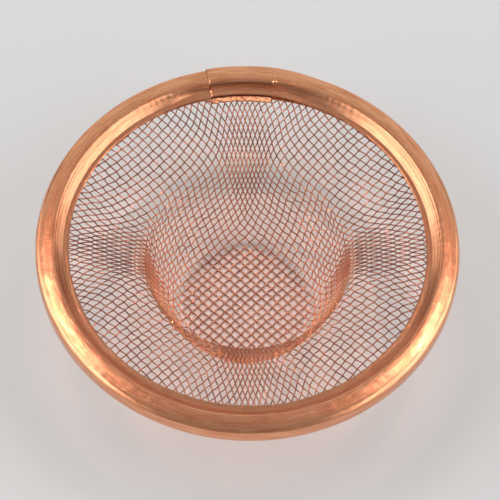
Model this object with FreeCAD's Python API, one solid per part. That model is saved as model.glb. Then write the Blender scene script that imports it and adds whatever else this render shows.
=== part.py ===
# Copper mesh drain strainer: a disc of woven copper wire cloth, pressed into a
# hat shape with a small cup, held round its edge by one folded copper strip.
#
# Frame: +Z up, millimetres. Origin at the middle of the cup's bottom, on the
# surface that the cup stands on. The strip's ends overlap on the +Y side.
import FreeCAD, Part
import math
import os

V = FreeCAD.Vector

# ---------------------------------------------------------------- dimensions
wire_d = 0.25            # copper wire of the cloth
wire_pitch = 1.41        # 18 wires to the inch, centre to centre
cloth_t = 2 * wire_d     # a plain weave is two wires thick at the crossings

depth = 20.85            # rim plane of the cloth above the cup's bottom
bottom_r = 11.45         # flat part of the cup's bottom
corner_r = 2.0           # bend between the bottom and the cup's wall
wall_low_deg = 63.3      # slope of the cup's wall just above the corner
wall_top_deg = 76.9      # slope of the wall just under the throat
throat_r = 3.3           # bend from the wall out into the flange
flange_in_deg = 19.6     # flange slope beside the throat
flange_out_deg = 4.0     # flange slope where it enters the rim
clamp_r = 32.70          # inner edge of the rim strip
cloth_r = 34.35          # cut edge of the cloth, inside the rim's bead

rim_R = 38.73            # outside radius of the rim
strip_t = 0.30           # copper strip
bead_top = 1.97          # crown of the bead above the cloth's rim plane
bead_bot = 2.25          # underside of the bead below the cloth's rim plane
crown_in_r = 35.50       # radius at which the crown is level, its highest line
crown_r = 11.86          # nearly flat crown, strip centreline radius
crown_deg = 11.0         # the crown falls away to this slope on its way out
shoulder_r = 1.01        # outer upper corner of the bead, strip centreline
lower_r = 1.05           # outer lower corner of the bead, strip centreline
seat_w = 0.90            # flat underside of the bead, the ring that the rim rests on
inner_r = 0.90           # inner lower corner of the bead, strip centreline
edge_r = 0.40            # corner between the crown and the bead's steep inner side
crease_r = 0.55          # shallow crease halfway up the slope
ridge_r = 0.30           # bend below the crease
leg_flat_r = 33.65       # the upper leg lies flat on the cloth inside this radius
leg_bend_r = 0.55
leg_deg = 40.0           # then it slopes up towards the bead
step_deg = 28.0          # less steeply for a short way below the crease
rise_deg = 52.0          # slope of the bead's inner side out of the crease
leg_gap = 0.01           # play between the legs and the cloth
low_leg_r = 33.05        # inner edge of the lower leg

lap_under_deg = 84.5     # azimuth of the cut end that lies underneath
lap_over_deg = 104.3     # azimuth of the cut end that lies on top
lap_gap = 0.02           # the two layers of the lap lie face to face
lip_r = 32.0             # the lower layer's leg shows inside the upper one
over_r = 32.80           # inner edge of the upper layer at the lap
ramp_deg = 14.0          # the upper layer rises over the lower one in this angle
lip_ramp_deg = 18.0      # the lower layer's leg runs out to clamp_r in this angle

z_bottom = cloth_t / 2
z_rim = z_bottom + depth


# ------------------------------------------------------ tangent path in (r, z)
class Path:
    """Tangent lines and arcs in the (r, z) half plane, which can be offset."""

    def __init__(self, r, z, heading_deg):
        self.start = (r, z)
        self.r, self.z, self.a = r, z, math.radians(heading_deg)
        self.segs = []

    def line(self, length):
        r0, z0 = self.r, self.z
        self.r += length * math.cos(self.a)
        self.z += length * math.sin(self.a)
        self.segs.append(("L", (r0, z0), (self.r, self.z), self.a))
        return self

    def arc(self, radius, turn_deg):
        """turn_deg positive bends to the left, negative to the right."""
        s = 1.0 if turn_deg > 0 else -1.0
        cx = self.r - s * radius * math.sin(self.a)
        cz = self.z + s * radius * math.cos(self.a)
        a0 = self.a
        self.a += math.radians(turn_deg)
        self.r = cx + s * radius * math.sin(self.a)
        self.z = cz - s * radius * math.cos(self.a)
        self.segs.append(("A", (cx, cz), radius, s, a0, self.a))
        return self

    def edges(self, d):
        """Edges of the path moved d to its left."""
        out = []
        for seg in self.segs:
            if seg[0] == "L":
                (r0, z0), (r1, z1), a = seg[1], seg[2], seg[3]
                nx, nz = -math.sin(a) * d, math.cos(a) * d
                out.append(("L", (r0 + nx, z0 + nz), (r1 + nx, z1 + nz)))
            else:
                (cx, cz), rad, s, a0, a1 = seg[1:]
                R = rad - s * d
                pts = []
                for a in (a0, (a0 + a1) / 2, a1):
                    pts.append((cx + s * R * math.sin(a), cz - s * R * math.cos(a)))
                out.append(("A",) + tuple(pts))
        return out


def vec(p, az=0.0):
    return V(p[0] * math.cos(az), p[0] * math.sin(az), p[1])


def to_edges(defs, az=0.0):
    out = []
    for e in defs:
        if e[0] == "L":
            out.append(Part.LineSegment(vec(e[1], az), vec(e[2], az)).toShape())
        else:
            out.append(Part.Arc(vec(e[1], az), vec(e[2], az), vec(e[3], az)).toShape())
    return out


def band_wire(path, d_left, d_right, az=0.0, axis_end=False):
    """Closed outline between two offsets of a path, in the plane at azimuth az."""
    left = path.edges(d_left)
    right = path.edges(d_right)
    first = to_edges(left, az)
    second = to_edges(right, az)
    a = first[-1].Vertexes[-1].Point
    p_l0, p_l1 = vec(left[0][1], az), vec(left[-1][-1], az)
    p_r0, p_r1 = vec(right[0][1], az), vec(right[-1][-1], az)
    edges = first + [Part.LineSegment(p_l1, p_r1).toShape()]
    edges += list(reversed(second)) + [Part.LineSegment(p_r0, p_l0).toShape()]
    return Part.Wire(Part.__sortEdges__(edges))


def turn(wire, az0, az1):
    """Solid swept by an outline at azimuth az0 about Z, round to az1 (degrees)."""
    return Part.Face(wire).revolve(V(0, 0, 0), V(0, 0, 1), az1 - az0)


# ------------------------------------------------------------- the wire cloth
def cloth_path(wall_len):
    p = Path(0.0, z_bottom, 0.0)
    p.line(bottom_r)
    p.arc(corner_r, wall_low_deg)
    bend = math.radians(wall_top_deg - wall_low_deg)
    p.arc(wall_len / bend, wall_top_deg - wall_low_deg)
    p.arc(throat_r, flange_in_deg - wall_top_deg)
    # the flange flattens slightly on its way out to the rim
    half = math.radians((flange_in_deg - flange_out_deg) / 2)
    mean = math.radians((flange_in_deg + flange_out_deg) / 2)
    chord = (clamp_r - 0.3 - p.r) / math.cos(mean)
    p.arc(chord / (2 * math.sin(half)), flange_out_deg - flange_in_deg)
    p.arc(3.0, -flange_out_deg)
    p.line(cloth_r - p.r)
    return p


wall_len = 12.0
for _ in range(12):
    miss = z_rim - cloth_path(wall_len).z
    wall_len += miss / math.sin(math.radians((wall_low_deg + wall_top_deg) / 2))
cloth = cloth_path(wall_len)

mesh_basket = turn(band_wire(cloth, cloth_t / 2, -cloth_t / 2), 0, 360)


# -------------------------------------------------------------- the rim strip
def strip_path(leg_start):
    """Centreline of the strip's section, leg edge to leg edge, over the bead."""
    z_leg = cloth_t / 2 + leg_gap + strip_t / 2
    a0, a1, a2 = (math.radians(x) for x in (leg_deg, step_deg, rise_deg))
    # two straight lengths, up the leg (u) and up the bead's inner side (w),
    # chosen so that the section runs level into the crown without a kink
    r0 = leg_flat_r + leg_bend_r * math.sin(a0)
    z0 = z_leg + leg_bend_r * (1 - math.cos(a0))
    d_r = (ridge_r * (math.sin(a0) - math.sin(a1)) + crease_r * (math.sin(a2) - math.sin(a1))
           + edge_r * math.sin(a2))
    d_z = (ridge_r * (math.cos(a1) - math.cos(a0)) + crease_r * (math.cos(a1) - math.cos(a2))
           + edge_r * (1 - math.cos(a2)))
    b1 = crown_in_r - d_r - r0
    b2 = bead_top - strip_t / 2 - d_z - z0
    det = math.cos(a0) * math.sin(a2) - math.cos(a2) * math.sin(a0)
    u = (b1 * math.sin(a2) - math.cos(a2) * b2) / det
    w = (math.cos(a0) * b2 - math.sin(a0) * b1) / det
    p = Path(leg_start, z_rim + z_leg, 0.0)
    p.line(leg_flat_r - leg_start)
    p.arc(leg_bend_r, leg_deg)
    p.line(u)
    p.arc(ridge_r, step_deg - leg_deg)
    p.arc(crease_r, rise_deg - step_deg)
    p.line(w)
    p.arc(edge_r, -rise_deg)
    p.arc(crown_r, -crown_deg)
    p.arc(shoulder_r, crown_deg - 90.0)
    p.line(p.z - (z_rim - bead_bot + strip_t / 2 + lower_r))
    p.arc(lower_r, -90.0)
    p.line(seat_w)
    p.arc(inner_r, -90.0)
    p.line(z_rim - z_leg - crease_r - p.z)
    p.arc(crease_r, 90.0)
    p.line(p.r - low_leg_r)
    return p


def strip_outline(az_deg, lift, leg_start):
    """Section of the strip at an azimuth, lifted off the nominal one by lift."""
    h = strip_t / 2
    return band_wire(strip_path(leg_start), lift + h, lift - h, math.radians(az_deg))


def ease(x):
    return x * x * (3 - 2 * x)


def ramp(az0, az1, lift0, lift1, leg0, leg1):
    n = max(4, int(round((az1 - az0) / 2.0)))
    outlines = []
    for i in range(n + 1):
        f = i / n
        g = ease(f)
        outlines.append(strip_outline(az0 + (az1 - az0) * f,
                                      lift0 + (lift1 - lift0) * g,
                                      leg0 + (leg1 - leg0) * g))
    return Part.makeLoft(outlines, True, False)


def ring(az0, az1, lift, leg_start):
    return turn(strip_outline(az0, lift, leg_start), az0, az1)


lift = strip_t + lap_gap
under_end = lap_under_deg
over_end = lap_over_deg + 360.0
ramp_in = under_end + 360.0 - ramp_deg
lip_end = lap_over_deg + lip_ramp_deg
pieces = [
    ring(under_end, lap_over_deg, 0.0, lip_r),
    ramp(lap_over_deg, lip_end, 0.0, 0.0, lip_r, clamp_r),
    ring(lip_end, ramp_in, 0.0, clamp_r),
    ramp(ramp_in, under_end + 360.0, 0.0, lift, clamp_r, over_r),
    ring(under_end + 360.0, over_end, lift, over_r),
]
rim_strip = pieces[0]
for piece in pieces[1:]:
    rim_strip = rim_strip.fuse(piece)


# --------------------------------------------------------------------- output
def one_solid(shape):
    s = shape.Solids
    if len(s) != 1 or not s[0].isValid() or s[0].Volume <= 0:
        raise RuntimeError("expected one valid solid, got %d" % len(s))
    return s[0]


os.makedirs("parts", exist_ok=True)
for name, shape in (("mesh_basket", mesh_basket), ("rim_strip", rim_strip)):
    solid = one_solid(shape)
    solid.exportStep("parts/%s.step" % name)
    b = solid.BoundBox
    print("%s volume %.1f mm3, faces %d, x %.2f..%.2f y %.2f..%.2f z %.2f..%.2f" % (
        name, solid.Volume, len(solid.Faces), b.XMin, b.XMax, b.YMin, b.YMax, b.ZMin, b.ZMax))
    section = strip_path(clamp_r)
print("strip, flat: %.1f mm wide, %.0f mm long" % (
    sum(math.hypot(e[2][0] - e[1][0], e[2][1] - e[1][1]) if e[0] == "L"
        else Part.Arc(vec(e[1]), vec(e[2]), vec(e[3])).length()
        for e in section.edges(0.0)),
    math.radians(over_end - under_end) * 37.0))
print("cloth, along a wire through the middle: %.1f mm" % (2 * sum(
    math.hypot(e[2][0] - e[1][0], e[2][1] - e[1][1]) if e[0] == "L"
    else Part.Arc(vec(e[1]), vec(e[2]), vec(e[3])).length() for e in cloth.edges(0.0))))
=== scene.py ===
import math

import bpy
import numpy as np
from mathutils import Matrix, Vector
from mathutils.geometry import tessellate_polygon


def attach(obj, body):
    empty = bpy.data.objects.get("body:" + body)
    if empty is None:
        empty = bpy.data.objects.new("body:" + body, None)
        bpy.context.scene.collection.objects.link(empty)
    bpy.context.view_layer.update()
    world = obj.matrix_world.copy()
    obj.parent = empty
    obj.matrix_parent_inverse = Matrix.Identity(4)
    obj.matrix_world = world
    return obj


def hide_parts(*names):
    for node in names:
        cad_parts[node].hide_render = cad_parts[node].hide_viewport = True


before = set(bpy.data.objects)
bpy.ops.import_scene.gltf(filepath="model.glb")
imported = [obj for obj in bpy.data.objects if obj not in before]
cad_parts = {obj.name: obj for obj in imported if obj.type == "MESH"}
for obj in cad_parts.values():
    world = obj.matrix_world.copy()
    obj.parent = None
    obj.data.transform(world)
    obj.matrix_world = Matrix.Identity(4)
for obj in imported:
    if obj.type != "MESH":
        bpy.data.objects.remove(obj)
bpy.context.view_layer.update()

MM = 0.001
D = math.radians

# ------------------------------------------------------------ sizes (mm), as in the CAD
WIRE_D, PITCH = 0.25, 1.41
DEPTH, BOTTOM_R, CORNER_R = 20.85, 11.45, 2.0
WALL_LOW, WALL_TOP, THROAT_R = 63.3, 76.9, 3.3
FLANGE_IN, FLANGE_OUT, CLAMP_R, CLOTH_R = 19.6, 4.0, 32.70, 34.35
RIM_R, STRIP_T, BEAD_TOP, BEAD_BOT = 38.73, 0.30, 1.97, 2.25
CROWN_IN_R, CROWN_R, CROWN_DEG, SHOULDER_R = 35.50, 11.86, 11.0, 1.01
LOWER_R, SEAT_W, INNER_R, EDGE_R = 1.05, 0.90, 0.90, 0.40
LEG_FLAT_R, LEG_DEG, STEP_DEG, RISE_DEG = 33.65, 40.0, 28.0, 52.0
LEG_GAP, LOW_LEG_R = 0.01, 33.05
LAP_UNDER, LAP_OVER, LAP_GAP, LIP_R, OVER_R = 84.5, 104.3, 0.02, 32.0, 32.80
RAMP = 14.0
Z_RIM = WIRE_D + DEPTH
AZ0 = 48.1               # azimuth of the weave's first direction


# ------------------------------------------------------------ helpers
class Path:
    """Tangent lines and arcs in the (r, z) half plane."""

    def __init__(self, r, z, heading):
        self.r, self.z, self.a, self.segs = r, z, D(heading), []

    def line(self, length):
        self.segs.append(("L", self.r, self.z, self.a, length))
        self.r += length * math.cos(self.a)
        self.z += length * math.sin(self.a)
        return self

    def arc(self, radius, turn):
        s = 1.0 if turn > 0 else -1.0
        cx = self.r - s * radius * math.sin(self.a)
        cz = self.z + s * radius * math.cos(self.a)
        a0 = self.a
        self.a += D(turn)
        self.r = cx + s * radius * math.sin(self.a)
        self.z = cz - s * radius * math.cos(self.a)
        self.segs.append(("A", cx, cz, radius, s, a0, self.a))
        return self

    def sample(self, counts, off):
        """Points and left normals along the path moved off to its left, counts per segment."""
        pts, nrm = [], []
        for k, (seg, n) in enumerate(zip(self.segs, counts)):
            f = np.linspace(0, 1, n, endpoint=(k == len(self.segs) - 1))
            if seg[0] == "L":
                _, r, z, a, length = seg
                nx, nz = -math.sin(a), math.cos(a)
                pts.append(np.stack([r + f * length * math.cos(a) + nx * off, z + f * length * math.sin(a) + nz * off], -1))
                nrm.append(np.tile([nx, nz], (len(f), 1)))
            else:
                _, cx, cz, rad, s, a0, a1 = seg
                a = a0 + (a1 - a0) * f
                R = rad - s * off
                pts.append(np.stack([cx + s * R * np.sin(a), cz - s * R * np.cos(a)], -1))
                nrm.append(np.stack([-np.sin(a), np.cos(a)], -1))
        return np.concatenate(pts), np.concatenate(nrm)

    def length(self):
        return sum(s[4] if s[0] == "L" else abs(s[6] - s[5]) * s[3] for s in self.segs)


def new_object(name, verts_mm, faces, body="root", smooth=True, sharp=None):
    me = bpy.data.meshes.new(name)
    me.from_pydata((np.asarray(verts_mm) * MM).tolist(), [], faces)
    me.validate()
    me.polygons.foreach_set("use_smooth", [smooth] * len(me.polygons))
    if sharp:
        me.set_sharp_from_angle(angle=D(sharp))
    me.update()
    ob = bpy.data.objects.new(name, me)
    bpy.context.scene.collection.objects.link(ob)
    if body:
        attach(ob, body)
    return ob


def waves(seed, n, kmin, kmax):
    """Seeded sum of plane waves in 3D, about unit amplitude: a smooth noise field."""
    rng = np.random.default_rng(seed)
    k = rng.normal(size=(n, 3))
    k *= (rng.uniform(kmin, kmax, n) / np.linalg.norm(k, axis=1))[:, None]
    ph = rng.uniform(0, 2 * np.pi, n)

    def f(p):
        return np.sin(p @ k.T + ph).sum(-1) * math.sqrt(2.0 / n)
    return f


# ------------------------------------------------------------ the cloth's surface
def cloth_path(wall):
    p = Path(0.0, WIRE_D, 0.0)
    p.line(BOTTOM_R).arc(CORNER_R, WALL_LOW)
    p.arc(wall / D(WALL_TOP - WALL_LOW), WALL_TOP - WALL_LOW)
    p.arc(THROAT_R, FLANGE_IN - WALL_TOP)
    chord = (CLAMP_R - 0.3 - p.r) / math.cos(D(FLANGE_IN + FLANGE_OUT) / 2)
    p.arc(chord / (2 * math.sin(D(FLANGE_IN - FLANGE_OUT) / 2)), FLANGE_OUT - FLANGE_IN)
    p.arc(3.0, -FLANGE_OUT)
    p.line(CLOTH_R + 4.0 - p.r)
    return p


wall = 12.0
for _ in range(12):
    wall += (Z_RIM - cloth_path(wall).z) / math.sin(D(WALL_LOW + WALL_TOP) / 2)
prof, _ = cloth_path(wall).sample([400, 90, 400, 160, 500, 20, 120], 0.0)
_s = np.r_[0, np.cumsum(np.hypot(*np.diff(prof, axis=0).T))]
S_MAX = _s[-1]
_g = np.linspace(0, S_MAX, 9000)
_R, _Z = np.interp(_g, _s, prof[:, 0]), np.interp(_g, _s, prof[:, 1])
_dR, _dZ = np.gradient(_R, _g), np.gradient(_Z, _g)


def surf(u, th):
    """Point, d/du and d/dth of the cloth's mid surface at meridian length u and azimuth th."""
    u = np.clip(u, 0, S_MAX - 1e-6)
    i = (u / _g[1]).astype(int)
    f = u / _g[1] - i
    R, Z = _R[i] * (1 - f) + _R[i + 1] * f, _Z[i] * (1 - f) + _Z[i + 1] * f
    dR, dZ = _dR[i] * (1 - f) + _dR[i + 1] * f, _dZ[i] * (1 - f) + _dZ[i + 1] * f
    c, s = np.cos(th), np.sin(th)
    return (np.stack([R * c, R * s, Z], -1), np.stack([dR * c, dR * s, dZ], -1),
            np.stack([-R * s, R * c, 0 * R], -1))


def drape(p):
    """Woven cloth pressed to shape keeps the length of its wires between crossings
    and shears at them. One quadrant of such a net, between two straight wires."""
    n = int(S_MAX / p) + 1
    u = np.full((n, n), np.nan)
    th = np.full((n, n), np.nan)
    u[:, 0] = np.arange(n) * p
    th[:, 0] = 0.0
    u[0, :] = np.arange(n) * p
    th[0, :] = math.pi / 2
    for k in range(2, 2 * n - 1):
        i = np.arange(1, k)
        j = k - i
        m = (i < n) & (j < n) & (j >= 1)
        i, j = i[m], j[m]
        if len(i):
            m = np.isfinite(u[i - 1, j]) & np.isfinite(u[i, j - 1])
            i, j = i[m], j[m]
        if not len(i):
            break
        A, B, C = (surf(u[a, b], th[a, b])[0] for a, b in ((i - 1, j), (i, j - 1), (i - 1, j - 1)))
        g = A + B - C
        tt = np.arctan2(g[:, 1], g[:, 0])
        uu = np.maximum(u[i - 1, j], u[i, j - 1]) + p * 0.3
        for _ in range(40):
            Q, Qu, Qt = surf(uu, tt)
            fa, fb = ((Q - A) ** 2).sum(-1) - p * p, ((Q - B) ** 2).sum(-1) - p * p
            a11, a12 = 2 * ((Q - A) * Qu).sum(-1), 2 * ((Q - A) * Qt).sum(-1)
            a21, a22 = 2 * ((Q - B) * Qu).sum(-1), 2 * ((Q - B) * Qt).sum(-1)
            det = a11 * a22 - a12 * a21
            det = np.where(abs(det) < 1e-9, 1e-9, det)
            du, dt = -(a22 * fa - a12 * fb) / det, -(-a21 * fa + a11 * fb) / det
            rad = np.maximum(np.hypot(Q[:, 0], Q[:, 1]), 0.3)
            du = np.clip(du, -0.5 * p, 0.5 * p)
            dt = np.clip(dt, -0.5 * p / rad, 0.5 * p / rad)
            uu, tt = uu + du, tt + dt
            if np.all(abs(du) < 1e-8):
                break
        bad = (abs(fa) > 1e-3) | (abs(fb) > 1e-3) | (uu > S_MAX - 0.1)
        u[i, j] = np.where(bad, np.nan, uu)
        th[i, j] = np.where(bad, np.nan, tt)
    return u, th


qu, qth = drape(PITCH)
NQ = qu.shape[0]
G = np.full((2 * NQ - 1, 2 * NQ - 1, 2), np.nan)     # (meridian length, azimuth) of every crossing
ii, jj = np.meshgrid(np.arange(NQ), np.arange(NQ), indexing="ij")
for q, (a, b) in enumerate([(ii, jj), (-jj, ii), (-ii, -jj), (jj, -ii)]):
    G[a + NQ - 1, b + NQ - 1, 0] = qu
    G[a + NQ - 1, b + NQ - 1, 1] = qth + q * math.pi / 2 + D(AZ0)

# the weave isn't perfect: crossings wander a little within the cloth
base_pt = surf(np.nan_to_num(G[..., 0]), np.nan_to_num(G[..., 1]))[0]
wu, wt = waves(3, 24, 0.25, 1.1), waves(4, 24, 0.25, 1.1)
rng = np.random.default_rng(11)
rad = np.hypot(base_pt[..., 0], base_pt[..., 1])
G[..., 0] += (0.075 * wu(base_pt) + 0.022 * rng.normal(size=rad.shape)) * np.clip(rad / 3, 0, 1)
G[..., 1] += (0.075 * wt(base_pt) + 0.022 * rng.normal(size=rad.shape)) / np.maximum(rad, 2.0)

P3, PU, PT = surf(np.abs(np.nan_to_num(G[..., 0])), np.nan_to_num(G[..., 1]))
NRM = np.cross(PU, PT)
NRM /= np.maximum(np.linalg.norm(NRM, axis=-1), 1e-9)[..., None]
NRM[NRM[..., 2] < 0] *= -1
NRM[NQ - 1, NQ - 1] = (0, 0, 1)
OK = np.isfinite(G[..., 0]) & (np.hypot(P3[..., 0], P3[..., 1]) < CLOTH_R - 0.15)


def wires(family, sides=6, sub=6):
    """Tubes for every wire of one family: each passes over and under the other's in turn."""
    verts, faces = [], []
    nv = 0
    jit = np.random.default_rng(20 + family)
    circ = np.linspace(0, 2 * np.pi, sides, endpoint=False)
    n = 2 * NQ - 1
    for line in range(n):
        ok = OK[:, line] if family == 0 else OK[line, :]
        P = P3[:, line] if family == 0 else P3[line, :]
        N = NRM[:, line] if family == 0 else NRM[line, :]
        idx = np.where(ok)[0]
        if len(idx) < 3:
            continue
        runs = np.split(idx, np.where(np.diff(idx) > 1)[0] + 1)
        for run in runs:
            if len(run) < 3:
                continue
            p, nn = P[run], N[run]
            sign = np.where((run + line) % 2 == 0, 1.0, -1.0) * (1 if family == 0 else -1)
            pe = np.vstack([2 * p[0] - p[1], p, 2 * p[-1] - p[-2]])
            cen, nor = [], []
            for k in range(len(run) - 1):
                a, b, c, d = pe[k], pe[k + 1], pe[k + 2], pe[k + 3]
                t = (np.arange(sub) / sub)[:, None]
                pos = 0.5 * ((2 * b) + (-a + c) * t + (2 * a - 5 * b + 4 * c - d) * t ** 2 + (-a + 3 * b - 3 * c + d) * t ** 3)
                nk = nn[k] * (1 - t) + nn[k + 1] * t
                nk /= np.linalg.norm(nk, axis=-1)[:, None]
                # the crimp: nearly straight lengths between tighter bends over the other wires
                crimp = (np.cos(np.pi * t) + np.cos(3 * np.pi * t) / 9) * 0.9
                # loose cloth: outside the clamp the bends stand a little proud of touching
                pr = np.hypot(pos[:, :1], pos[:, 1:2])
                loose = 1 + 0.45 * np.clip((32.0 - pr) / 1.2, 0, 1)
                rest = 0.055 * np.clip((13.5 - pr) / 2, 0, 1)
                cen.append(pos + nk * ((WIRE_D / 2 * 0.97) * loose * crimp * sign[k] + rest))
                nor.append(nk)
            cen.append((p[-1] + nn[-1] * WIRE_D / 2 * sign[-1])[None])
            nor.append(nn[-1][None])
            cen, nor = np.concatenate(cen), np.concatenate(nor)
            tan = np.gradient(cen, axis=0)
            tan /= np.linalg.norm(tan, axis=-1)[:, None]
            side = np.cross(tan, nor)
            side /= np.linalg.norm(side, axis=-1)[:, None]
            up = np.cross(side, tan)
            m = len(cen)
            r = WIRE_D / 2
            ph = circ + jit.uniform(0, 1)
            ring = (cen[:, None] + r * (np.cos(ph)[None, :, None] * side[:, None] + np.sin(ph)[None, :, None] * up[:, None]))
            verts.append(ring.reshape(-1, 3))
            k0 = nv + np.arange(m - 1)[:, None] * sides + np.arange(sides)[None]
            k1 = nv + np.arange(m - 1)[:, None] * sides + (np.arange(sides)[None] + 1) % sides
            q4 = np.stack([k0, k1, k1 + sides, k0 + sides], -1).reshape(-1, 4)
            faces.append(q4)
            verts.append(cen[[0, -1]])
            nv_ring = nv + m * sides
            cap0 = [[nv + (s + 1) % sides, nv + s, nv_ring] for s in range(sides)]
            cap1 = [[nv + (m - 1) * sides + s, nv + (m - 1) * sides + (s + 1) % sides, nv_ring + 1] for s in range(sides)]
            faces.append(cap0 + cap1)
            nv = nv_ring + 2
    out = []
    for f in faces:
        out.extend(f.tolist() if isinstance(f, np.ndarray) else f)
    return np.concatenate(verts), out


warp = new_object("warp_wires", *wires(0))
weft = new_object("weft_wires", *wires(1))
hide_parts("mesh_basket")


# ------------------------------------------------------------ the rim strip
def strip_path(leg_start, lap, press):
    """Centreline of the section. press = 1 where the lap was pressed down flat inside the bead."""
    # concave bends are tighter where there is no second layer to go over
    two = min(1.0, lap + 4.0 * press)
    crease_r, leg_bend_r, ridge_r, edge_r = 0.34 + 0.21 * two, 0.36 + 0.19 * two, 0.30, EDGE_R - 0.12 * (1 - two)
    z_leg = WIRE_D + LEG_GAP + STRIP_T / 2
    leg_deg, step_deg, rise_deg = (a + (b - a) * press for a, b in ((LEG_DEG, 62.0), (STEP_DEG, 60.0), (RISE_DEG, 67.0)))
    leg_flat_r = LEG_FLAT_R + 0.58 * press
    a0, a1, a2 = D(leg_deg), D(step_deg), D(rise_deg)
    r0 = leg_flat_r + leg_bend_r * math.sin(a0)
    z0 = z_leg + leg_bend_r * (1 - math.cos(a0))
    d_r = (ridge_r * (math.sin(a0) - math.sin(a1)) + crease_r * (math.sin(a2) - math.sin(a1))
           + edge_r * math.sin(a2))
    d_z = (ridge_r * (math.cos(a1) - math.cos(a0)) + crease_r * (math.cos(a1) - math.cos(a2))
           + edge_r * (1 - math.cos(a2)))
    b1 = CROWN_IN_R - d_r - r0
    b2 = BEAD_TOP - STRIP_T / 2 - d_z - z0
    det = math.cos(a0) * math.sin(a2) - math.cos(a2) * math.sin(a0)
    u = (b1 * math.sin(a2) - math.cos(a2) * b2) / det
    w = (math.cos(a0) * b2 - math.sin(a0) * b1) / det
    if min(u, w) < 0.0:
        raise ValueError("section does not close: %.3f %.3f at press %.2f" % (u, w, press))
    p = Path(leg_start, Z_RIM + z_leg, 0.0)
    p.line(leg_flat_r - leg_start).arc(leg_bend_r, leg_deg).line(u)
    p.arc(ridge_r, step_deg - leg_deg).arc(crease_r, rise_deg - step_deg).line(w)
    p.arc(edge_r, -rise_deg).arc(CROWN_R, -CROWN_DEG).arc(SHOULDER_R, CROWN_DEG - 90.0)
    p.line(p.z - (Z_RIM - BEAD_BOT + STRIP_T / 2 + LOWER_R))
    p.arc(LOWER_R, -90.0).line(SEAT_W).arc(INNER_R, -90.0)
    p.line(Z_RIM - z_leg - 0.55 - p.z).arc(0.55, 90.0)
    p.line(p.r - LOW_LEG_R)
    return p


def ease(x):
    x = np.clip(x, 0, 1)
    return x * x * (3 - 2 * x)


OUT_COUNTS = [3, 4, 3, 3, 6, 4, 6, 10, 11, 3, 6, 2, 5, 2, 4, 2]
IN_COUNTS = [2, 2, 2, 2, 3, 2, 3, 4, 5, 2, 4, 2, 4, 2, 3, 2]
N_AZ = 760
az0, az1 = LAP_UNDER, LAP_OVER + 360.0
wob_r, wob_z = waves(31, 10, 0.03, 0.16), waves(32, 10, 0.03, 0.16)
lump = waves(33, 40, 0.5, 1.6)
fine = waves(34, 60, 1.6, 4.5)
rows = []
azs = np.concatenate([np.linspace(az0, az1 - 0.24, N_AZ - 4), az1 - np.array([0.18, 0.12, 0.06, 0.0])])
for az in azs:
    lap = ease((az - (az0 + 360 - RAMP)) / RAMP)
    lip = 1 - ease((az - LAP_OVER + 0.3) / 3.0)
    leg = CLAMP_R + (OVER_R - CLAMP_R) * lap + (LIP_R - 0.45 - CLAMP_R) * lip
    leg += lip * (0.07 * math.sin(az * 2.3) + 0.04 * math.sin(az * 5.1 + 0.7))
    # the shears left both edges of the strip slightly uneven
    leg += 0.05 * math.sin(az * 0.19 + 1.0) * math.sin(az * 0.083) + 0.025 * math.sin(az * 1.31)
    lift = (STRIP_T + LAP_GAP) * lap
    # the ends of the strip were squeezed in a jig, which left a flatter ledge and a groove
    press = ease((az - (az0 + 360 - 15)) / 13.0) + 1 - ease((az - LAP_OVER - 1.0) / 13.0)
    p = strip_path(leg, lap, min(1.0, float(press)))
    h = STRIP_T / 2
    po, no = p.sample(OUT_COUNTS, lift + h)
    # the shears rounded the end that lies on top, unevenly
    cut = max(0.0, 1.0 - (az1 - az) / 0.22)
    if cut > 0:
        nick = 0.5 + 0.5 * np.sin(po[:, 0] * 5.3 + 0.8) * np.sin(po[:, 0] * 2.1)
        po = po - no * (cut * (0.05 + 0.07 * nick))[:, None]
    pi_, ni = p.sample(IN_COUNTS, lift - h)
    # rounded cut edges
    b = 0.06
    po[0] += (b, 0)
    pi_[0] += (b, 0)
    po[-1] += (b, 0)
    pi_[-1] += (b, 0)
    start = np.array([[po[0][0] - b, po[0][1] * 0.8 + pi_[0][1] * 0.2], [po[0][0] - b, po[0][1] * 0.2 + pi_[0][1] * 0.8]])
    end = np.array([[po[-1][0] - b, po[-1][1] * 0.8 + pi_[-1][1] * 0.2], [po[-1][0] - b, po[-1][1] * 0.2 + pi_[-1][1] * 0.8]])
    sec = np.concatenate([po, end, pi_[::-1], start[::-1]])
    nor = np.concatenate([no, no[-1:], no[-1:], ni[::-1], no[:1], no[:1]])
    c, s = math.cos(D(az)), math.sin(D(az))
    # both layers of the lap follow one noise field, so they never cross
    flat = sec - nor * lift
    mid = np.stack([flat[:, 0] * c, flat[:, 0] * s, flat[:, 1]], -1)
    bead = ease((sec[:, 0] - 34.2) / 1.2)
    dn = 0.005 * lump(mid) * bead + 0.004 * fine(mid) * (0.3 + 0.7 * bead)
    a360 = az % 360.0
    # the fold was closed in short strokes, which left a row of beads on the slope
    beads = max(math.exp(-((a360 - c0) / w0) ** 2) for c0, w0 in ((121.0, 9.0), (62.0, 10.0), (2.0, 16.0), (145.0, 14.0)))
    stroke = math.sin(37.0 * D(az) * 2 * math.pi / 1.5 + 1.2 * math.sin(az * 0.31)) * (0.7 + 0.3 * math.sin(az * 1.7))
    dn = dn + 0.017 * beads * stroke * np.exp(-((sec[:, 0] - 34.95) / 0.45) ** 2)
    # a burr where the hidden end begins, on the top layer
    burr = 0.25 * math.exp(-((az - az0 - 359.6) / 0.42) ** 2) * np.exp(-((sec[:, 0] - 35.0) / 0.25) ** 2)
    dn = dn + burr * (np.arange(len(sec)) < len(po))
    dr = 0.045 * wob_r(mid) * bead
    dz = 0.035 * wob_z(mid) * bead
    r2 = sec[:, 0] + nor[:, 0] * dn + dr
    z2 = sec[:, 1] + nor[:, 1] * dn + dz
    rows.append(np.stack([r2 * c, r2 * s, z2], -1))
V = np.concatenate(rows)
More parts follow.
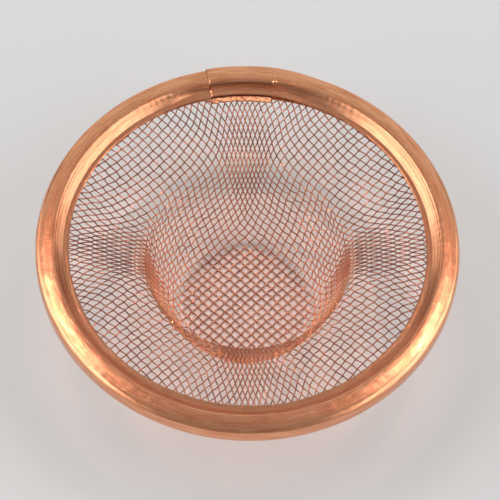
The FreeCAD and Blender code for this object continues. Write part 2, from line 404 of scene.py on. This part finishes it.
M = len(rows[0])
faces = []
for k in range(N_AZ - 1):
    a, b = k * M, (k + 1) * M
    for i in range(M):
        j = (i + 1) % M
        faces.append((a + i, b + i, b + j, a + j))
for k, flip in ((0, False), (N_AZ - 1, True)):
    c, s = math.cos(D(azs[k])), math.sin(D(azs[k]))
    loop = [Vector((float(v[0] * c + v[1] * s), float(v[2]), 0.0)) for v in rows[k]]
    for t in tessellate_polygon([loop]):
        q = [loop[i] for i in t]
        area2 = (q[1].x - q[0].x) * (q[2].y - q[0].y) - (q[2].x - q[0].x) * (q[1].y - q[0].y)
        t = tuple(t) if (area2 > 0) != flip else tuple(reversed(t))
        faces.append(tuple(k * M + i for i in t))
rim = new_object("rim_band", V, faces, sharp=50)
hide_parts("rim_strip")


# ------------------------------------------------------------ materials
def nodes_of(name):
    m = bpy.data.materials.new(name)
    m.use_nodes = True
    nt = m.node_tree
    nt.nodes.clear()
    out = nt.nodes.new("ShaderNodeOutputMaterial")
    bsdf = nt.nodes.new("ShaderNodeBsdfPrincipled")
    nt.links.new(bsdf.outputs[0], out.inputs[0])
    return m, nt, bsdf


def add(nt, kind, **kw):
    n = nt.nodes.new(kind)
    for k, v in kw.items():
        if k in n.inputs:
            n.inputs[k].default_value = v
        else:
            setattr(n, k, v)
    return n


def math_node(nt, op, a, b=None, clamp=False):
    n = nt.nodes.new("ShaderNodeMath")
    n.operation = op
    n.use_clamp = clamp
    for i, v in enumerate((a, b)):
        if v is None:
            continue
        if isinstance(v, (int, float)):
            n.inputs[i].default_value = v
        else:
            nt.links.new(v, n.inputs[i])
    return n.outputs[0]


def ramp_node(nt, fac, stops):
    n = nt.nodes.new("ShaderNodeValToRGB")
    el = n.color_ramp.elements
    while len(el) < len(stops):
        el.new(0.5)
    for e, (p, c) in zip(el, stops):
        e.position = p
        e.color = (*c, 1.0)
    nt.links.new(fac, n.inputs[0])
    return n.outputs[0]


def mix_rgb(nt, fac, a, b, mode="MIX"):
    n = nt.nodes.new("ShaderNodeMix")
    n.data_type = "RGBA"
    n.blend_type = mode
    for sock, v in ((n.inputs[0], fac), (n.inputs[6], a), (n.inputs[7], b)):
        if isinstance(v, (int, float)):
            sock.default_value = v
        elif isinstance(v, tuple):
            sock.default_value = (*v, 1.0)
        else:
            nt.links.new(v, sock)
    return n.outputs[2]


def polar(nt):
    """Texture coordinate node, then arc length round the rim, radius and height in mm, from object coordinates."""
    tc = nt.nodes.new("ShaderNodeTexCoord")
    sp = nt.nodes.new("ShaderNodeSeparateXYZ")
    nt.links.new(tc.outputs["Object"], sp.inputs[0])
    x, y, z = sp.outputs
    r = math_node(nt, "SQRT", math_node(nt, "ADD", math_node(nt, "MULTIPLY", x, x), math_node(nt, "MULTIPLY", y, y)))
    th = math_node(nt, "ARCTAN2", x, y)
    return tc, math_node(nt, "MULTIPLY", th, 37.0), math_node(nt, "MULTIPLY", r, 1000.0), math_node(nt, "MULTIPLY", z, 1000.0)


def rim_material():
    m, nt, bsdf = nodes_of("copper_strip_brushed")
    tc, s, r, z = polar(nt)
    # lines left by rolling the strip: long round the rim, very fine across it
    cb = nt.nodes.new("ShaderNodeCombineXYZ")
    nt.links.new(math_node(nt, "MULTIPLY", s, 0.22), cb.inputs[0])
    nt.links.new(math_node(nt, "MULTIPLY", r, 4.2), cb.inputs[1])
    nt.links.new(math_node(nt, "MULTIPLY", z, 4.2), cb.inputs[2])
    lines = add(nt, "ShaderNodeTexNoise", Scale=1.0, Detail=4.0, Roughness=0.62)
    nt.links.new(cb.outputs[0], lines.inputs["Vector"])
    # blotches of handling and tarnish
    cb2 = nt.nodes.new("ShaderNodeCombineXYZ")
    nt.links.new(math_node(nt, "MULTIPLY", s, 0.16), cb2.inputs[0])
    nt.links.new(math_node(nt, "MULTIPLY", r, 0.75), cb2.inputs[1])
    nt.links.new(math_node(nt, "MULTIPLY", z, 0.75), cb2.inputs[2])
    blot = add(nt, "ShaderNodeTexNoise", Scale=1.0, Detail=5.0, Roughness=0.6)
    nt.links.new(cb2.outputs[0], blot.inputs["Vector"])
    grain = add(nt, "ShaderNodeTexNoise", Scale=2600.0, Detail=3.0, Roughness=0.6)
    nt.links.new(tc.outputs["Object"], grain.inputs["Vector"])
    tone = math_node(nt, "ADD", math_node(nt, "MULTIPLY", lines.outputs["Fac"], 0.58), math_node(nt, "MULTIPLY", blot.outputs["Fac"], 0.42))
    col = ramp_node(nt, tone, [(0.36, (0.64, 0.25, 0.14)), (0.5, (0.86, 0.385, 0.215)), (0.62, (0.95, 0.475, 0.285))])
    col = mix_rgb(nt, 0.18, col, ramp_node(nt, grain.outputs["Fac"], [(0.35, (0.5, 0.25, 0.13)), (0.65, (1.0, 0.60, 0.36))]), "OVERLAY")
    # painted shade in the crease: a dark copper brown laid along it
    cre = math_node(nt, "ABSOLUTE", math_node(nt, "SUBTRACT", r, 34.72))
    cre = math_node(nt, "SUBTRACT", 1.0, math_node(nt, "MULTIPLY", cre, 2.6), clamp=True)
    # painted shade: the leg inside the crease, lower than the bead, is coloured duller and darker than the bead
    leg_ = math_node(nt, "MULTIPLY", math_node(nt, "SUBTRACT", 34.45, r), 2.5, clamp=True)
    leg_ = math_node(nt, "MULTIPLY", leg_, math_node(nt, "GREATER_THAN", z, 21.0))
    col = mix_rgb(nt, math_node(nt, "MULTIPLY", leg_, 0.32), col, (0.42, 0.19, 0.11))
    # more painted shade in the crease where the lap was squeezed: from 84.5 to 104.3 degrees
    inlap = math_node(nt, "ABSOLUTE", math_node(nt, "ADD", s, 2.84))
    inlap = math_node(nt, "MULTIPLY", math_node(nt, "SUBTRACT", 6.4, inlap), 4.0, clamp=True)
    far = math_node(nt, "GREATER_THAN", z, 21.2)
    inlap = math_node(nt, "MULTIPLY", inlap, far)
    amount = math_node(nt, "ADD", 0.5, math_node(nt, "MULTIPLY", inlap, 0.5))
    col = mix_rgb(nt, math_node(nt, "MULTIPLY", cre, amount), col, (0.30, 0.12, 0.06))
    # painted shadow along the cut edge of the leg, darker in the lap under the top layer's edge; painted highlight on
    # the lap's lip below it
    cut_ = math_node(nt, "ABSOLUTE", math_node(nt, "SUBTRACT", r, 32.78))
    cut_ = math_node(nt, "SUBTRACT", 1.0, math_node(nt, "MULTIPLY", cut_, 5.0), clamp=True)
    col = mix_rgb(nt, math_node(nt, "MULTIPLY", cut_, math_node(nt, "ADD", 0.5, math_node(nt, "MULTIPLY", inlap, 0.3))), col, (0.25, 0.09, 0.05))
    # painted highlight: bright copper laid in grains on the lap's lip, which is also rougher there
    lap_lip_mask = math_node(nt, "MULTIPLY", math_node(nt, "SUBTRACT", 32.66, r), 6.0, clamp=True)
    lap_lip_mask = math_node(nt, "MULTIPLY", lap_lip_mask, inlap)
    painted_lip_highlight = math_node(nt, "MULTIPLY", math_node(nt, "SUBTRACT", grain.outputs["Fac"], 0.36), 3.4, clamp=True)
    painted_lip_highlight = math_node(nt, "MULTIPLY", painted_lip_highlight, lap_lip_mask)
    col = mix_rgb(nt, math_node(nt, "MULTIPLY", painted_lip_highlight, 0.8), col, (0.98, 0.62, 0.36))
    # painted shade on the sheared end of the top layer, which damps its glints
    end_ = math_node(nt, "ABSOLUTE", math_node(nt, "ADD", s, 9.23))
    end_ = math_node(nt, "SUBTRACT", 1.0, math_node(nt, "MULTIPLY", end_, 5.0), clamp=True)
    col = mix_rgb(nt, math_node(nt, "MULTIPLY", end_, 0.6), col, (0.34, 0.15, 0.08))
    nt.links.new(col, bsdf.inputs["Base Color"])
    bsdf.inputs["Metallic"].default_value = 1.0
    rough = math_node(nt, "ADD", 0.09, math_node(nt, "MULTIPLY", math_node(nt, "SUBTRACT", 1.0, tone), 0.20))
    rough = math_node(nt, "ADD", rough, math_node(nt, "MULTIPLY", painted_lip_highlight, 0.3))
    nt.links.new(rough, bsdf.inputs["Roughness"])
    bsdf.inputs["Anisotropic"].default_value = 0.0
    bump = add(nt, "ShaderNodeBump", Strength=0.45, Distance=0.00006)
    hgt = math_node(nt, "ADD", lines.outputs["Fac"], math_node(nt, "MULTIPLY", grain.outputs["Fac"], 0.35))
    nt.links.new(hgt, bump.inputs["Height"])
    nt.links.new(bump.outputs[0], bsdf.inputs["Normal"])
    return m


def wire_material():
    m, nt, bsdf = nodes_of("copper_wire_drawn")
    tc = nt.nodes.new("ShaderNodeTexCoord")
    big = add(nt, "ShaderNodeTexNoise", Scale=160.0, Detail=4.0, Roughness=0.6)
    fine_ = add(nt, "ShaderNodeTexNoise", Scale=2400.0, Detail=2.0, Roughness=0.6)
    for n in (big, fine_):
        nt.links.new(tc.outputs["Object"], n.inputs["Vector"])
    tone = math_node(nt, "ADD", math_node(nt, "MULTIPLY", big.outputs["Fac"], 0.55), math_node(nt, "MULTIPLY", fine_.outputs["Fac"], 0.45))
    col = ramp_node(nt, tone, [(0.36, (0.20, 0.08, 0.052)), (0.5, (0.38, 0.155, 0.10)), (0.66, (0.66, 0.31, 0.20))])
    # painted shade, partly tarnish: the flange's wires, the cup floor's and those on the far side get the darker
    # colour; the cup's walls keep a brighter copy of the same copper, painted as lit
    _, _, r, _ = polar(nt)
    flange = math_node(nt, "DIVIDE", math_node(nt, "SUBTRACT", r, 17.0), 4.0, clamp=True)
    disc = math_node(nt, "DIVIDE", math_node(nt, "SUBTRACT", 13.5, r), 2.0, clamp=True)
    disc = math_node(nt, "MULTIPLY", disc, 0.6)
    sp = nt.nodes.new("ShaderNodeSeparateXYZ")
    nt.links.new(tc.outputs["Object"], sp.inputs[0])
    # painted shade on the far side of the cloth, beyond 3 mm in y
    back = math_node(nt, "DIVIDE", math_node(nt, "SUBTRACT", math_node(nt, "MULTIPLY", sp.outputs[1], 1000.0), 3.0), 6.0, clamp=True)
    back = math_node(nt, "MULTIPLY", back, 0.45)
    flange = math_node(nt, "MAXIMUM", math_node(nt, "MAXIMUM", flange, disc), back)
    bright_wire_colour = ramp_node(nt, tone, [(0.36, (0.66, 0.26, 0.13)), (0.5, (0.88, 0.39, 0.20)), (0.66, (0.96, 0.50, 0.30))])
    col = mix_rgb(nt, flange, bright_wire_colour, col)
    nt.links.new(col, bsdf.inputs["Base Color"])
    bsdf.inputs["Metallic"].default_value = 1.0
    nt.links.new(math_node(nt, "ADD", 0.08, math_node(nt, "MULTIPLY", fine_.outputs["Fac"], 0.14)), bsdf.inputs["Roughness"])
    bump = add(nt, "ShaderNodeBump", Strength=0.3, Distance=0.00002)
    nt.links.new(fine_.outputs["Fac"], bump.inputs["Height"])
    nt.links.new(bump.outputs[0], bsdf.inputs["Normal"])
    return m


rim.data.materials.append(rim_material())
wm = wire_material()
warp.data.materials.append(wm)
weft.data.materials.append(wm)

# ------------------------------------------------------------ floor, light, camera
fl = bpy.data.meshes.new("floor")
w = 1.6
fl.from_pydata([(-w, -w, 0), (w, -w, 0), (w, w, 0), (-w, w, 0)], [], [(0, 1, 2, 3)])
floor = bpy.data.objects.new("floor", fl)
bpy.context.scene.collection.objects.link(floor)
floor.location.z = -0.00002
fm, fnt, fb = nodes_of("floor_matt")
fb.inputs["Base Color"].default_value = (0.725, 0.73, 0.731, 1)
fb.inputs["Roughness"].default_value = 0.75
fb.inputs["Specular IOR Level"].default_value = 0.25
fl.materials.append(fm)

world = bpy.data.worlds.new("studio")
bpy.context.scene.world = world
world.use_nodes = True
bg = world.node_tree.nodes["Background"]
bg.inputs[0].default_value = (1.0, 0.98, 0.97, 1)
bg.inputs[1].default_value = 0.33


def area(name, az, el, dist, sx, sy, watts, colour=(1, 1, 1)):
    la = bpy.data.lights.new(name, "AREA")
    la.shape = "RECTANGLE"
    la.size, la.size_y = sx, sy
    la.energy = watts
    la.color = colour
    ob = bpy.data.objects.new(name, la)
    bpy.context.scene.collection.objects.link(ob)
    d = Vector((math.cos(D(az)) * math.cos(D(el)), math.sin(D(az)) * math.cos(D(el)), math.sin(D(el))))
    ob.location = Vector((0, 0, 0.02)) + d * dist
    ob.rotation_mode = "QUATERNION"
    ob.rotation_quaternion = d.to_track_quat("Z", "Y")
    return ob


def panel(name, az, el0, el1, dist, half_az, radiance, colour=(1, 1, 1)):
    """Softbox that fills a range of elevations and half_az to each side of az."""
    el = (el0 + el1) / 2
    w = 2 * dist * math.cos(D(el)) * math.tan(D(half_az))
    h = 2 * dist * math.tan(D((el1 - el0) / 2))
    area(name, az, el, dist, w, h, radiance * math.pi * w * h, colour)


panel("softbox_left_skirt", 188, -8, 12, 0.80, 32, 0.45)
panel("softbox_left_low", 186, 12, 38, 0.80, 30, 1.95)
panel("softbox_left_mid", 183, 38, 60, 0.80, 30, 2.05)
panel("softbox_left_top", 137, 58, 70, 0.80, 24, 1.75)
panel("softbox_left_back", 149, 6, 46, 0.80, 8, 0.8)
panel("softbox_left_front", 222, 9, 38, 0.80, 7, 0.9)
panel("softbox_right_skirt", -6, -8, 12, 0.80, 31, 0.65)
panel("softbox_right_low", -6, 12, 38, 0.80, 30, 1.72)
panel("softbox_right_mid", -3, 38, 59, 0.80, 30, 1.8)
panel("softbox_right_top", 43, 57, 70, 0.80, 24, 1.6)
panel("softbox_right_back", 31, 6, 46, 0.80, 8, 0.8)
panel("softbox_right_front", -42, 9, 38, 0.80, 7, 0.8)
panel("backdrop_fill", 90, -5, 30, 1.00, 36, 0.38)
panel("backdrop_top", 90, 30, 52, 1.00, 42, 0.42, (0.80, 1.0, 0.98))


def glow(name, radius, blend, irradiance, colour, soft, y=0.0):
    """Soft light over a circle of the floor, the light that the copper throws about. It comes
    from the direction of the two high softboxes, so it adds no highlight of its own."""
    dist, el = 0.70, 64.0
    for k, az in (("l", 134), ("r", 46)):
        la = bpy.data.lights.new(name + "_" + k, "SPOT")
        la.energy = irradiance / 2 * 4 * math.pi * dist ** 2 / math.sin(D(el))
        la.color = colour
        la.spot_size = 2 * math.atan(radius / dist)
        la.spot_blend = blend
        la.shadow_soft_size = soft
        ob = bpy.data.objects.new(name + "_" + k, la)
        bpy.context.scene.collection.objects.link(ob)
        d = Vector((math.cos(D(az)) * math.cos(D(el)), math.sin(D(az)) * math.cos(D(el)), math.sin(D(el))))
        ob.location = d * dist + Vector((0, y, 0))
        ob.rotation_mode = "QUATERNION"
        ob.rotation_quaternion = d.to_track_quat("Z", "Y")


glow("copper_glow_wide", 0.072, 1.0, 0.20, (1.0, 0.38, 0.27), 0.030, -0.012)
glow("copper_glow_cloth", 0.0330, 0.25, 1.20, (1.0, 0.47, 0.33), 0.011)

# camera, from the shape and place of the rim and the drape of the cloth in view
EL, DIST, F_PX, ROLL = 59.82, 533.1, 2918.1, 2.66
TARGET = Vector((0.424, -0.664, 21.32)) * MM
fwd = Vector((0, math.cos(D(EL)), -math.sin(D(EL))))
right = Vector((1, 0, 0))
up = Vector((0, math.sin(D(EL)), math.cos(D(EL))))
r2 = right * math.cos(D(ROLL)) + up * math.sin(D(ROLL))
u2 = -right * math.sin(D(ROLL)) + up * math.cos(D(ROLL))
cam_data = bpy.data.cameras.new("camera")
cam = bpy.data.objects.new("camera", cam_data)
bpy.context.scene.collection.objects.link(cam)
rot = Matrix((r2, u2, -fwd)).transposed()
cam.matrix_world = Matrix.Translation(TARGET - fwd * DIST * MM) @ rot.to_4x4()
cam_data.sensor_width = 36.0
cam_data.lens = F_PX / 500.0 * 36.0
cam_data.clip_start, cam_data.clip_end = 0.01, 10.0
bpy.context.scene.camera = cam
bpy.context.scene.view_settings.view_transform = "Standard"
bpy.context.scene.view_settings.look = "None"

bpy.context.view_layer.update()
